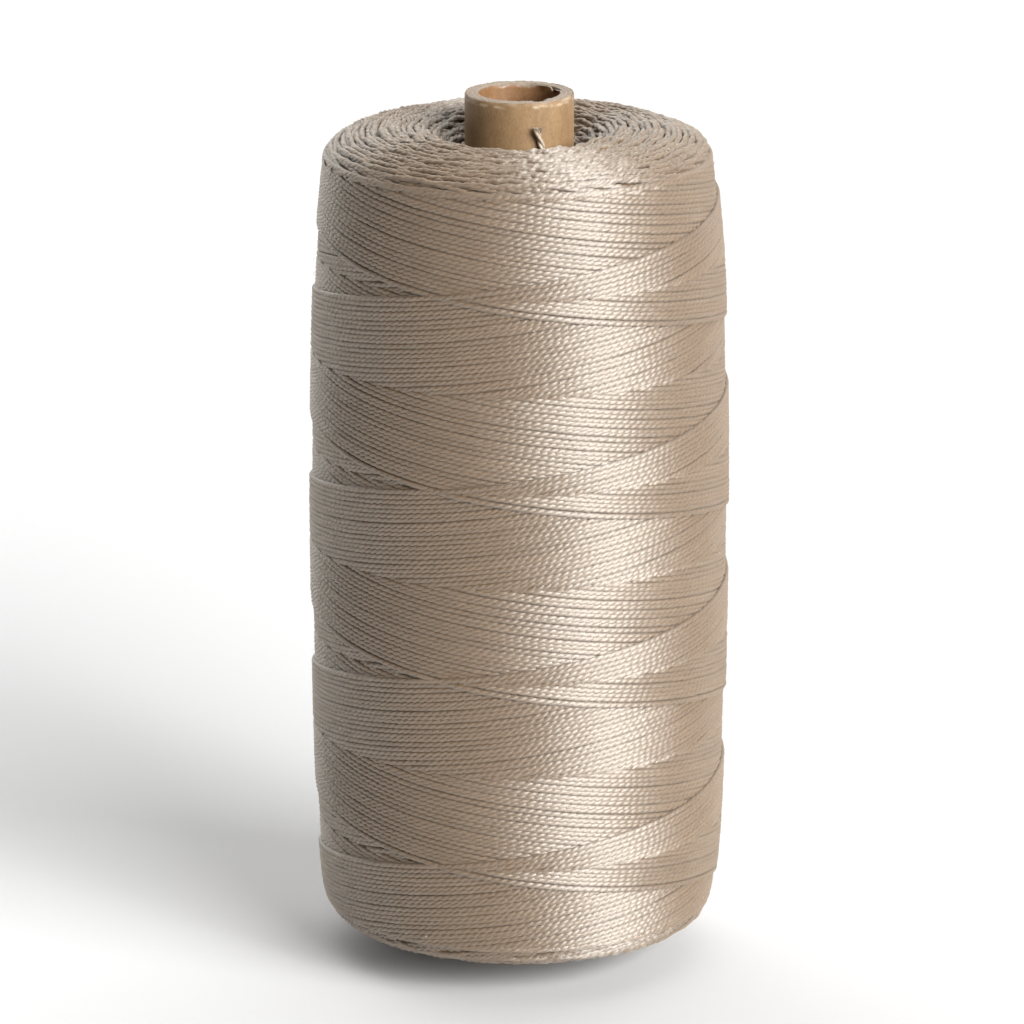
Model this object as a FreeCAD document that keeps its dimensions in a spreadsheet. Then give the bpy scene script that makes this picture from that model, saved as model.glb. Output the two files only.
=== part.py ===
import FreeCAD, Part
import math
import os

import Sketcher
from FreeCAD import Placement, Rotation, Vector

# A package of waxed thread, cross wound without flanges on a paper tube.
# Millimetres, +Z up along the tube. The origin is the centre of the tube's lower rim, on
# which the spool stands. The front is -Y, and angles round the tube count from the front
# towards +X.

# Driving dimensions: alias, value, meaning.
SIZES = [
    ("TubeLength", 164.0, "paper tube, rim to rim"),
    ("TubeOuterRadius", 10.0, "outside of the tube's outer wrap"),
    ("TubeBoreRadius", 7.5, "bore that a peg or spindle goes through"),
    ("LinerThickness", 0.4, "smooth inner liner"),
    ("WrapThickness", 0.3, "kraft outer wrap"),
    ("RimRounding", 0.2, "rubbed edge of the outer wrap at both rims"),
    ("PackageHeight", 152.0, "wound thread, end face to end face"),
    ("PackageGreatestRadius", 38.85, "over the outermost turns at mid height"),
    ("PackageBow", 1300.0, "radius of the barrel-shaped side, seen from the side"),
    ("TopShoulder", 11.0, "rounding between side and upper end face"),
    ("BottomShoulder", 9.0, "rounding between side and lower end face"),
    ("PitRadius", 16.0, "mouth of the funnel round the tube in each end face"),
    ("PitDepth", 6.0, "depth of that funnel at the tube"),
    ("PitRounding", 4.0, "rounded mouth of the funnel"),
    ("ThreadDiameter", 0.8, "two-ply waxed thread"),
    ("ThreadGap", 0.45, "clear gap between two crossing turns of the outer layer"),
    ("ThreadBedding", 0.2, "how far below the core's surface the lower turns run"),
    ("TraverseInset", 4.6, "from each end face to the outer layer's reversals"),
    ("TailAngle", 19.0, "start of the thread, right of the front of the tube"),
    ("TailHidden", 5.0, "length of the start that is held under the first turns"),
    ("TailStraight", 7.0, "upright run of the start, hidden length included"),
    ("TailLean", 1.15, "sideways lean of its tip, to the left"),
    ("TailRise", 5.6, "height of the leaning run"),
]

PLY_COUNT = 4
DOUBLE_TRAVERSES = 3
TURNS_PER_TRAVERSE = 4.0 - 1.0 / (2 * DOUBLE_TRAVERSES)
REVERSAL_HALF_TURN = 0.125
FIRST_TOP_REVERSAL = -35.0
END_BEND_RADIUS = 1.2
SECTION_SIDES = 8
SAMPLE_STEP = 0.25

doc = FreeCAD.newDocument("thread_spool")


# Driving dimensions in the sheet
sheet = doc.addObject("Spreadsheet::Sheet", "Sizes")
for row, (alias, value, meaning) in enumerate(SIZES, start=1):
    sheet.set("A%d" % row, alias)
    sheet.set("B%d" % row, str(value))
    sheet.set("C%d" % row, meaning)
    sheet.setAlias("B%d" % row, alias)
doc.recompute()


def size(alias):
    """The value of one driving dimension."""
    return float(sheet.get(alias))


def origin_plane(body, role):
    """One of the three origin planes of a body."""
    for feature in body.Origin.OriginFeatures:
        if feature.Role == role:
            return feature
    raise ValueError("no origin plane " + role)


def new_sketch(body, name, role, offset=Placement()):
    """A sketch of this body on one of its origin planes."""
    sketch = body.newObject("Sketcher::SketchObject", name)
    sketch.AttachmentSupport = [(origin_plane(body, role), "")]
    sketch.MapMode = "FlatFace"
    sketch.AttachmentOffset = offset
    return sketch


def circle_edges(shape, radius, height):
    """Names of the round edges of this radius at this height."""
    found = []
    for number, edge in enumerate(shape.Edges, start=1):
        curve = edge.Curve
        if isinstance(curve, Part.Circle):
            same_radius = abs(curve.Radius - radius) < 0.01
            if same_radius and abs(curve.Center.z - height) < 0.01:
                found.append("Edge%d" % number)
    return found


# Paper tube: a liner, plies of board and an outer wrap, rolled and glued one on the other
def tube_layer(label, inner, outer):
    """One layer of the tube between two radii, given as expressions of the sheet."""
    body = doc.addObject("PartDesign::Body", label)
    body.Label = label
    section = new_sketch(body, label + "_section", "XY_Plane")
    centre = Vector(0, 0, 0)
    axis = Vector(0, 0, 1)
    for index, radius in enumerate((inner, outer)):
        start_radius = size("TubeBoreRadius") + index
        section.addGeometry(Part.Circle(centre, axis, start_radius), False)
        section.addConstraint(Sketcher.Constraint("Coincident", index, 3, -1, 1))
        radius_constraint = section.addConstraint(
            Sketcher.Constraint("Radius", index, start_radius))
        section.setExpression("Constraints[%d]" % radius_constraint, radius)
    pad = body.newObject("PartDesign::Pad", label + "_length")
    pad.Profile = section
    pad.setExpression("Length", "Sizes.TubeLength")
    body.Placement = Placement()
    return body


def tube_layers():
    """All layers of the tube, from the bore outwards."""
    layers = [tube_layer("tube_inner_liner", "Sizes.TubeBoreRadius",
                         "Sizes.TubeBoreRadius + Sizes.LinerThickness")]
    board = "(Sizes.TubeOuterRadius - Sizes.TubeBoreRadius" \
            " - Sizes.LinerThickness - Sizes.WrapThickness)"
    for ply in range(PLY_COUNT):
        start = "Sizes.TubeBoreRadius + Sizes.LinerThickness + %s * %d / %d"
        layers.append(tube_layer("tube_ply_%d" % (ply + 1),
                                 start % (board, ply, PLY_COUNT),
                                 start % (board, ply + 1, PLY_COUNT)))
    wrap = tube_layer("tube_outer_wrap", "Sizes.TubeOuterRadius - Sizes.WrapThickness",
                      "Sizes.TubeOuterRadius")
    doc.recompute()
    sharp = wrap.Tip
    rims = []
    for rim_height in (0.0, size("TubeLength")):
        rims += circle_edges(sharp.Shape, size("TubeOuterRadius"), rim_height)
    rubbed_rims = wrap.newObject("PartDesign::Fillet", "rubbed_rims")
    rubbed_rims.Base = (sharp, rims)
    rubbed_rims.setExpression("Radius", "Sizes.RimRounding")
    layers.append(wrap)
    return layers


# Wound thread below its outer layer: a barrel with rounded shoulders and a funnel in each
# end face, where the turns fall away towards the tube
def levels():
    """Heights of the two end faces and of the middle between them."""
    bottom = (size("TubeLength") - size("PackageHeight")) / 2
    top = bottom + size("PackageHeight")
    return bottom, top, (bottom + top) / 2


def core_radius_at_middle():
    """Radius of the barrel where it is widest, below the outer layer."""
    outer_layer = 1.5 * size("ThreadDiameter") + size("ThreadGap") - size("ThreadBedding")
    return size("PackageGreatestRadius") - outer_layer


def core_corner_radius():
    """Radius where the barrel-shaped side would meet an end face."""
    bow = size("PackageBow")
    half_height = size("PackageHeight") / 2
    return core_radius_at_middle() - bow + math.sqrt(bow ** 2 - half_height ** 2)


def thread_core():
    body = doc.addObject("PartDesign::Body", "thread_package")
    body.Label = "thread_package"
    section = new_sketch(body, "package_section", "XZ_Plane")
    bottom, top, middle = levels()
    tube = size("TubeOuterRadius")
    pit = size("PitRadius")
    depth = size("PitDepth")
    corner = core_corner_radius()
    outline = [Vector(tube, bottom + depth), Vector(pit, bottom), Vector(corner, bottom),
               Vector(corner, top), Vector(pit, top), Vector(tube, top - depth)]
    widest = Vector(core_radius_at_middle(), middle)
    side = 2
    for index, start in enumerate(outline):
        end = outline[(index + 1) % len(outline)]
        if index == side:
            section.addGeometry(Part.Arc(start, widest, end), False)
        else:
            section.addGeometry(Part.LineSegment(start, end), False)
    for index in range(len(outline)):
        following = (index + 1) % len(outline)
        section.addConstraint(Sketcher.Constraint("Coincident", index, 2, following, 1))
    bottom_rule = "(Sizes.TubeLength - Sizes.PackageHeight) / 2"
    top_rule = "(Sizes.TubeLength + Sizes.PackageHeight) / 2"
    corner_rule = ("Sizes.PackageGreatestRadius - 1.5 * Sizes.ThreadDiameter"
                   " - Sizes.ThreadGap + Sizes.ThreadBedding - Sizes.PackageBow"
                   " + sqrt(Sizes.PackageBow ^ 2 - (Sizes.PackageHeight / 2) ^ 2)")
    rules = [("Sizes.TubeOuterRadius", bottom_rule + " + Sizes.PitDepth"),
             ("Sizes.PitRadius", bottom_rule), (corner_rule, bottom_rule),
             (corner_rule, top_rule), ("Sizes.PitRadius", top_rule),
             ("Sizes.TubeOuterRadius", top_rule + " - Sizes.PitDepth")]
    for index, (across_rule, up_rule) in enumerate(rules):
        point = outline[index]
        across = section.addConstraint(
            Sketcher.Constraint("DistanceX", -1, 1, index, 1, point.x))
        section.setExpression("Constraints[%d]" % across, across_rule)
        up = section.addConstraint(
            Sketcher.Constraint("DistanceY", -1, 1, index, 1, point.y))
        section.setExpression("Constraints[%d]" % up, up_rule)
    bow = section.addConstraint(Sketcher.Constraint("Radius", side, size("PackageBow")))
    section.setExpression("Constraints[%d]" % bow, "Sizes.PackageBow")
    turned = body.newObject("PartDesign::Revolution", "package_barrel")
    turned.Profile = section
    turned.ReferenceAxis = (section, ["V_Axis"])
    turned.Angle = 360.0
    doc.recompute()
    roundings = [("top_shoulder", "TopShoulder", corner, top),
                 ("bottom_shoulder", "BottomShoulder", corner, bottom),
                 ("top_funnel_mouth", "PitRounding", pit, top),
                 ("bottom_funnel_mouth", "PitRounding", pit, bottom)]
    for name, alias, radius, height in roundings:
        base = body.Tip
        rounding = body.newObject("PartDesign::Fillet", name)
        rounding.Base = (base, circle_edges(base.Shape, radius, height))
        rounding.setExpression("Radius", "Sizes." + alias)
        doc.recompute()
    body.Placement = Placement()
    return body


def shoulder(height):
    """Rounding that this height of the side lies on: its centre and radius, or None."""
    bottom, top, middle = levels()
    bow = size("PackageBow")
    bow_centre = core_radius_at_middle() - bow
    for face, radius in ((top, size("TopShoulder")), (bottom, size("BottomShoulder"))):
        inward = -1 if face > middle else 1
        centre_height = face + inward * radius
        reach = bow - radius
        centre_radius = bow_centre + math.sqrt(reach ** 2 - (centre_height - middle) ** 2)
        tangent_height = middle + (centre_height - middle) * bow / reach
        if (height - tangent_height) * inward < 0:
            return centre_radius, centre_height, radius
    return None


def core_surface(height):
    """Radius of the core at this height, and its outward normal there as (radial, up)."""
    bottom, top, middle = levels()
    arc = shoulder(height)
    if arc is None:
        bow = size("PackageBow")
        arc = (core_radius_at_middle() - bow, middle, bow)
    centre_radius, centre_height, arc_radius = arc
    rise = height - centre_height
    reach = math.sqrt(arc_radius ** 2 - rise ** 2)
    return centre_radius + reach, (reach / arc_radius, rise / arc_radius)


# Outer layer: one thread that goes up the package bedded half into the core, turns back
# at the upper reversal and comes down lying over its own earlier turns
def radial(angle):
    """Unit vector outwards at this angle from the front."""
    return Vector(math.sin(math.radians(angle)), -math.cos(math.radians(angle)), 0)


def winding_point(turn, traverse):
    """Centre of the thread after this many turns, on this traverse."""
    bottom, top, middle = levels()
    low = bottom + size("TraverseInset")
    high = top - size("TraverseInset")
    rounding = REVERSAL_HALF_TURN / 2
    climb = (high - low) / (TURNS_PER_TRAVERSE - 2 * rounding)
    along = turn - traverse * TURNS_PER_TRAVERSE
    upward = traverse % 2 == 0
    travelled = (along - rounding) * climb
    height = low + travelled if upward else high - travelled
    lift = -size("ThreadBedding")
    if not upward:
        lift += size("ThreadDiameter") + size("ThreadGap")
    radius, normal = core_surface(height)
    angle = FIRST_TOP_REVERSAL - 360.0 * (turn - TURNS_PER_TRAVERSE)
    centre = radial(angle) * (radius + lift * normal[0])
    centre.z = height + lift * normal[1]
    return centre


def winding_tangent(turn, traverse):
    """Direction of the thread there, from two near points."""
    near = 0.0001
    before = winding_point(turn - near, traverse)
    after = winding_point(turn + near, traverse)
    return (after - before).normalize()


def arc_from_tangent(start, tangent, end):
    """Arc that leaves start along tangent and ends at end."""
    chord = end - start
    half = chord.Length / 2
    direction = Vector(chord).normalize()
    sideways = tangent - direction * tangent.dot(direction)
    angle = math.atan2(sideways.Length, tangent.dot(direction))
    crown = start + chord * 0.5 + sideways.normalize() * (half * math.tan(angle / 2))
    return Part.Arc(start, crown, end)


def biarc(start, start_tangent, end, end_tangent):
    """Two arcs that join two points smoothly along their tangents."""
    chord = end - start
    tangents = start_tangent + end_tangent
    spread = 2 * (1 - start_tangent.dot(end_tangent))
    across = chord.dot(tangents)
    reach = (math.sqrt(across ** 2 + spread * chord.dot(chord)) - across) / spread
    joint = (start + end + (start_tangent - end_tangent) * reach) * 0.5
    first = arc_from_tangent(start, start_tangent, joint)
    leaving = (end - end_tangent * reach - joint).normalize()
    second = arc_from_tangent(joint, leaving, end)
    return [first, second]


def end_bend(point, tangent, outward):
    """Quarter bend and straight run from a point of the winding into the core."""
    inward = (tangent * outward.dot(tangent) - outward).normalize()
    centre = point + inward * END_BEND_RADIUS
    foot = centre + tangent * END_BEND_RADIUS
    crown = centre + (tangent - inward).normalize() * END_BEND_RADIUS
    bend = Part.Arc(point, crown, foot)
    root = Part.LineSegment(foot, foot + inward * size("ThreadDiameter") * 1.5)
    return bend, root


def winding_path():
    """All edges of the outer layer, from its start in the core to its end in the core."""
    stations = []
    quarter_turns = 15
    span = TURNS_PER_TRAVERSE - 2 * REVERSAL_HALF_TURN
    for traverse in range(2 * DOUBLE_TRAVERSES):
        start_turn = traverse * TURNS_PER_TRAVERSE + REVERSAL_HALF_TURN
        for step in range(quarter_turns + 1):
            turn = start_turn + span * step / quarter_turns
            stations.append((winding_point(turn, traverse), winding_tangent(turn, traverse)))
    first_point, first_tangent = stations[0]
    last_point, last_tangent = stations[-1]
    start_outward = Vector(first_point.x, first_point.y, 0).normalize()
    end_outward = Vector(last_point.x, last_point.y, 0).normalize()
    start_bend, start_root = end_bend(first_point, first_tangent * -1, start_outward)
    finish_bend, finish_root = end_bend(last_point, last_tangent, end_outward)
    curves = [Part.LineSegment(start_root.EndPoint, start_root.StartPoint)]
    curves.append(arc_through_reversed(start_bend))
    for (point, tangent), (next_point, next_tangent) in zip(stations, stations[1:]):
        curves += biarc(point, tangent, next_point, next_tangent)
    curves += [finish_bend, finish_root]
    return curves


def arc_through_reversed(arc):
    """The same arc, run from its end to its start."""
    middle = arc.value((arc.FirstParameter + arc.LastParameter) / 2)
    return Part.Arc(arc.EndPoint, middle, arc.StartPoint)


def corner_radius(diameter):
    """From the centre to a corner of the eight-sided section that has a circle's area."""
    circle_area = math.pi * diameter ** 2 / 4
    return math.sqrt(circle_area * 2 / (SECTION_SIDES * math.sin(2 * math.pi / SECTION_SIDES)))


def tube_along(curves, diameter):
    """Solid of eight-sided section along a smooth row of lines and arcs."""
    spine = Part.Wire([curve.toShape() for curve in curves])
    start = curves[0].StartPoint
    direction = (curves[0].EndPoint - start).normalize()
    circle = Part.Circle(start, direction, corner_radius(diameter))
    corners = [circle.value(2 * math.pi * side / SECTION_SIDES)
               for side in range(SECTION_SIDES)]
    ring = Part.makePolygon(corners + corners[:1])
    solid = spine.makePipeShell([ring], True, False)
    section = math.pi * diameter ** 2 / 4
    print("tube: length %.1f mm, volume %.1f mm3, section times length %.1f mm3"
          % (spine.Length, solid.Volume, section * spine.Length))
    return solid


def least_gap(curves, diameter):
    """Least clear gap between stretches of the tube that aren't neighbours on it."""
    points = []
    travelled = 0.0
    for curve in curves:
        edge = curve.toShape()
        count = max(2, int(edge.Length / SAMPLE_STEP) + 1)
        for point in edge.discretize(Number=count)[:-1]:
            points.append((travelled, point))
            travelled += edge.Length / (count - 1)
    cell = 3 * diameter
    own_stretch = 10 * diameter
    cells = {}
    for number, (place, point) in enumerate(points):
        key = (int(point.x // cell), int(point.y // cell), int(point.z // cell))
        cells.setdefault(key, []).append(number)
    around = (-1, 0, 1)
    shifts = [(across, deep, up) for across in around for deep in around for up in around]
    least = cell
    for key, numbers in cells.items():
        near = []
        for shift in shifts:
            near += cells.get(tuple(a + b for a, b in zip(key, shift)), [])
        for number in numbers:
            place, point = points[number]
            for other in near:
                other_place, other_point = points[other]
                if other_place - place > own_stretch:
                    least = min(least, point.distanceToPoint(other_point))
    return least - 2 * corner_radius(diameter)


def outer_turns():
    curves = winding_path()
    diameter = size("ThreadDiameter")
    bends = [curve.toShape().Curve for curve in curves]
    radii = [bend.Radius for bend in bends if isinstance(bend, Part.Circle)]
    print("outer turns: %.2f turns, %d arcs, tightest radius %.2f mm, least gap %.2f mm"
          % (2 * DOUBLE_TRAVERSES * TURNS_PER_TRAVERSE - 2 * REVERSAL_HALF_TURN, len(radii),
             min(radii), least_gap(curves, diameter)))
    feature = doc.addObject("Part::Feature", "thread_outer_turns")
    feature.Label = "thread_outer_turns"
    feature.Shape = tube_along(curves, diameter)
    feature.Placement = Placement()
    return feature


# Start of the thread: it is laid up the tube under the first turns and its cut tip stands
# out beside the tube at the top
def start_tail():
    body = doc.addObject("PartDesign::Body", "thread_start_tail")
    body.Label = "thread_start_tail"
    bottom, top, middle = levels()
    hold = top - size("PitDepth") - size("TailHidden")
    straight = size("TailStraight")
    lean = size("TailLean")
    rise = size("TailRise")
    diameter = size("ThreadDiameter")
    clearance = 0.05
    beside_tube = size("TubeOuterRadius") + diameter / 2 + clearance
    route = new_sketch(body, "tail_route", "XZ_Plane",
                       Placement(Vector(0, 0, beside_tube), Rotation()))
    turned = math.atan2(lean, rise)
    bend_radius = 0.45 * min(straight, math.hypot(lean, rise)) / math.tan(turned / 2)
    setback = bend_radius * math.tan(turned / 2)
    knee = Vector(0, hold + straight)
    bend_start = knee - Vector(0, setback)
    bend_end = knee + Vector(-math.sin(turned), math.cos(turned)) * setback
    tip = knee + Vector(-lean, rise)
    centre = bend_start - Vector(bend_radius, 0)
    crown = centre + Vector(math.cos(turned / 2), math.sin(turned / 2)) * bend_radius
    route.addGeometry(Part.LineSegment(Vector(0, hold), bend_start), False)
    route.addGeometry(Part.Arc(bend_start, crown, bend_end), False)
    route.addGeometry(Part.LineSegment(bend_end, tip), False)
    for index in range(3):
        route.addConstraint(Sketcher.Constraint("Block", index))
    section = new_sketch(body, "tail_section", "XY_Plane",
                         Placement(Vector(0, 0, hold), Rotation()))
    foot = Vector(0, -beside_tube, 0)
    section.addGeometry(Part.Circle(foot, Vector(0, 0, 1), diameter / 2), False)
    section.addConstraint(Sketcher.Constraint("PointOnObject", 0, 3, -2))
    away = section.addConstraint(
        Sketcher.Constraint("DistanceY", 0, 3, -1, 1, beside_tube))
    section.setExpression("Constraints[%d]" % away,
                          "Sizes.TubeOuterRadius + Sizes.ThreadDiameter / 2 + %g" % clearance)
    thick = section.addConstraint(Sketcher.Constraint("Diameter", 0, diameter))
    section.setExpression("Constraints[%d]" % thick, "Sizes.ThreadDiameter")
    doc.recompute()
    pipe = body.newObject("PartDesign::AdditivePipe", "tail_thread")
    pipe.Profile = section
    pipe.Spine = (route, ["Edge1", "Edge2", "Edge3"])
    body.Placement = Placement(Vector(0, 0, 0), Rotation(Vector(0, 0, 1), size("TailAngle")))
    return body


sub_parts = tube_layers()
sub_parts.append(thread_core())
sub_parts.append(outer_turns())
sub_parts.append(start_tail())
doc.recompute()

for item in doc.Objects:
    for state in item.State:
        if state in ("Invalid", "Error"):
            raise RuntimeError("%s is %s" % (item.Label, state))
for sub_part in sub_parts:
    if sub_part.Shape.isNull() or not sub_part.Shape.isValid():
        raise RuntimeError(sub_part.Label + " has no valid shape")

os.makedirs("parts", exist_ok=True)
for sub_part in sub_parts:
    sub_part.Shape.exportStep("parts/%s.step" % sub_part.Label)
    box = sub_part.Shape.BoundBox
    print("%-20s %10.1f mm3  x %.2f..%.2f  y %.2f..%.2f  z %.2f..%.2f"
          % (sub_part.Label, sub_part.Shape.Volume, box.XMin, box.XMax,
             box.YMin, box.YMax, box.ZMin, box.ZMax))
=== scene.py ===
import math

import bpy
import numpy as np
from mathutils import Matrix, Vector


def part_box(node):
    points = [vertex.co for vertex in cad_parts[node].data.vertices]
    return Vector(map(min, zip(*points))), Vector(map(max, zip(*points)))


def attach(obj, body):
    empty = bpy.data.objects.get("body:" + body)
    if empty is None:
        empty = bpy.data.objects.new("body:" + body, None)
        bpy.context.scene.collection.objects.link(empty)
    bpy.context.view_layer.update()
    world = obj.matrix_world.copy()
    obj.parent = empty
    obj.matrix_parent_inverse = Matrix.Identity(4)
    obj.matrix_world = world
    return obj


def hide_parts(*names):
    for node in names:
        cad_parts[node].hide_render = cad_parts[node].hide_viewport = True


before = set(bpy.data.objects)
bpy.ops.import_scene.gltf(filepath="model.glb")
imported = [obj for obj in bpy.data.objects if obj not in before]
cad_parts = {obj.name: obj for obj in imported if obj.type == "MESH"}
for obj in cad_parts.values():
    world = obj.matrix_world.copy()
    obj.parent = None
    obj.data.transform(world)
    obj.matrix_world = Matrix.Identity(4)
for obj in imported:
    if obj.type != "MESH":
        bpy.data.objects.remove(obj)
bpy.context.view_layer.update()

# The scene of a spool of waxed thread: a cross-wound package with two open ends on a kraft paper tube.
# Shapes are worked out in millimetres, in the frame's axes, and turned into metres when a mesh is made.
# Angles round the spool are measured from the front towards +X.
MM = 0.001
TURN = 2 * math.pi
rng = np.random.default_rng(942)

# The tube and the package, read from the frame
TUBE_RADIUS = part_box("tube_outer_wrap")[1].x / MM
TUBE_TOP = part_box("tube_outer_wrap")[1].z / MM
LINER_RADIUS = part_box("tube_inner_liner")[1].x / MM
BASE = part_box("thread_package")[0].z / MM
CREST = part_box("thread_package")[1].z / MM

# The thread: its diameter, the length in which its plies turn once, and the step between its sections
THREAD = 1.1
PLY_PITCH = 2.95
STEP_ALONG = 0.37
# The winding: strands of two families, which climb and come down at the same slope and reverse at the ends,
# with the number in each, their spacing, their rise in a turn and the half turns from end to end
STRANDS = 41
SPACING = 0.871
CLIMB = STRANDS * SPACING
RATE = CLIMB / TURN
HALF_TURNS = 8
# The heights of the corners that the strands' straight runs would make at the ends
LOW_TURN = BASE + 4.3
HIGH_TURN = LOW_TURN + CLIMB * HALF_TURNS / 2
# Where round the spool the newest strand of each family sets out, and how many turns apart they do
NEWEST_LEAD = 3 / STRANDS
NEWEST_CLIMB = math.radians(145)
NEWEST_FALL = NEWEST_CLIMB + TURN * NEWEST_LEAD
# Half the angle in which a reversal bends
BEND_ANGLE = math.radians(10)
# How far one layer lies below the next, and the strands' widths in which one sinks under the other family
LAYER_STEP = 0.55
SWAP_STRANDS = 1.3
# The most triangles in a piece
TRIANGLE_LIMIT = 190_000

# The package's outline, as (radius, drop below the crest) over the upper end face, from the tube outwards
UPPER_FACE = [(10.2, 7.0), (11.6, 5.5), (13.4, 3.6), (15.3, 1.9), (17.4, 0.9), (20.5, 0.65), (23.7, 0.8),
              (27.0, 1.1), (29.6, 1.55), (31.7, 2.25), (33.35, 3.1), (34.75, 4.05), (35.7, 5.3)]
# then down the side, as (radius, height above the base)
SIDE = [(36.1, 143.6), (36.75, 137.5), (37.7, 126.5), (38.35, 109.0), (38.7, 91.5), (38.8, 74.0),
        (38.65, 56.5), (38.45, 39.0), (38.0, 21.5), (37.3, 11.0), (36.6, 5.6)]
# and back under the lower end face, as (radius, height above the base)
LOWER_FACE = [(35.7, 3.6), (34.2, 2.1), (32.2, 1.1), (29.4, 0.45), (25.5, 0.1), (20.5, 0.0),
              (17.4, 0.25), (15.3, 1.25), (13.4, 3.0), (11.6, 5.0), (10.2, 6.6)]
# The step between the points of the smooth outline through these
OUTLINE_STEP = 0.2
# The radii at which the side is taken to end, on the upper and the lower shoulder
UPPER_SHOULDER = 33.4
LOWER_SHOULDER = 34.0


def running_length(points, power=1.0):
    """The length along points from the first, with each step raised to a power."""
    steps = np.linalg.norm(np.diff(points, axis=0), axis=1) ** power
    return np.concatenate([[0], np.cumsum(steps)])


def unit(vectors):
    """The vectors at length 1."""
    return vectors / np.linalg.norm(vectors, axis=1)[:, None]


def smooth_curve(points, spacing):
    """Points at an even spacing on the curve that passes smoothly through the given ones."""
    steps_between = 40
    knots = np.array(points, float)
    ends = np.vstack([2 * knots[0] - knots[1], knots, 2 * knots[-1] - knots[-2]])
    chord = running_length(ends, 0.5)
    fine = []
    for i in range(1, len(ends) - 2):
        t = np.linspace(chord[i], chord[i + 1], steps_between, endpoint=False)[:, None]
        p, k = ends[i - 1:i + 3], chord[i - 1:i + 3]
        a = [((k[n + 1] - t) * p[n] + (t - k[n]) * p[n + 1]) / (k[n + 1] - k[n]) for n in range(3)]
        b = [((k[n + 2] - t) * a[n] + (t - k[n]) * a[n + 1]) / (k[n + 2] - k[n]) for n in range(2)]
        fine.append(((k[2] - t) * b[0] + (t - k[1]) * b[1]) / (k[2] - k[1]))
    fine = np.vstack([*fine, knots[-1:]])
    along = running_length(fine)
    even = np.linspace(0, along[-1], int(along[-1] / spacing) + 1)
    return np.column_stack([np.interp(even, along, fine[:, c]) for c in (0, 1)])


def package_outline():
    """The package's half section as (radius, z), from the upper pit over the side to the lower pit."""
    points = [(r, CREST - drop) for r, drop in UPPER_FACE]
    points += [(r, BASE + height) for r, height in SIDE + LOWER_FACE]
    return smooth_curve(points, OUTLINE_STEP)


OUTLINE = package_outline()
SLOPE = np.gradient(OUTLINE, axis=0)
NORMALS = unit(np.column_stack([-SLOPE[:, 1], SLOPE[:, 0]]))
QUARTER = len(OUTLINE) // 4
SIDE_FROM = int(np.argmin(abs(OUTLINE[:QUARTER, 0] - UPPER_SHOULDER)))
SIDE_TO = len(OUTLINE) - 1 - int(np.argmin(abs(OUTLINE[::-1][:QUARTER, 0] - LOWER_SHOULDER)))


def side_radius(z):
    """The package's mean outer radius at a height on its side."""
    part = OUTLINE[SIDE_FROM:SIDE_TO][::-1]
    return np.interp(z, part[:, 1], part[:, 0])


def soft_step(x):
    """0 below -1, 1 above 1, and a smooth rise between."""
    t = np.clip((x + 1) / 2, 0, 1)
    return t * t * (3 - 2 * t)


def wander(x, amplitude, wavelengths):
    """A smooth random offset along x, a sum of a few waves with random phases."""
    total = np.zeros_like(x)
    for length in wavelengths:
        total += np.sin(TURN * (x / (length * rng.uniform(0.8, 1.25)) + rng.random()))
    return amplitude * total / math.sqrt(len(wavelengths))


def bend_drop(angle):
    """How far a strand has come from the corner that its two straight runs would make at a reversal."""
    size = np.abs(angle)
    near = RATE * (size ** 2 / (2 * BEND_ANGLE) + BEND_ANGLE / 2)
    return np.where(size < BEND_ANGLE, near, RATE * size)


def level_of(age, ahead):
    """How many layers lie over a strand of this age, by how far ahead, in half turns, it swaps sides."""
    return 2 * age + ahead + soft_step(-ahead * STRANDS / SWAP_STRANDS)


def polar(angle, radius, z):
    """Points from an angle, a radius and a height."""
    return np.column_stack([radius * np.sin(angle), -radius * np.cos(angle), z])


# The side's runs: the radius that their length is reckoned at, how far each goes on out of sight, and the
# shortest one that is made, in half turns
MEAN_RADIUS = 38.3
HIDDEN_AT_END = 7.5
HIDDEN_BEFORE = 3.6
HIDDEN_AFTER = 6.5
SHORTEST_SHOWN = 0.01
# Their unevenness, as an amplitude and wavelengths, which calms down near the ends
STRAND_SHIFT = 0.07
SLOW_SHIFT = (0.05, (45, 90, 170))
QUICK_SHIFT = (0.02, (7, 11))
RISE_AND_SINK = (0.03, (9, 17, 40))
CALM_LENGTH = 12
CALMEST = 0.2


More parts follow.
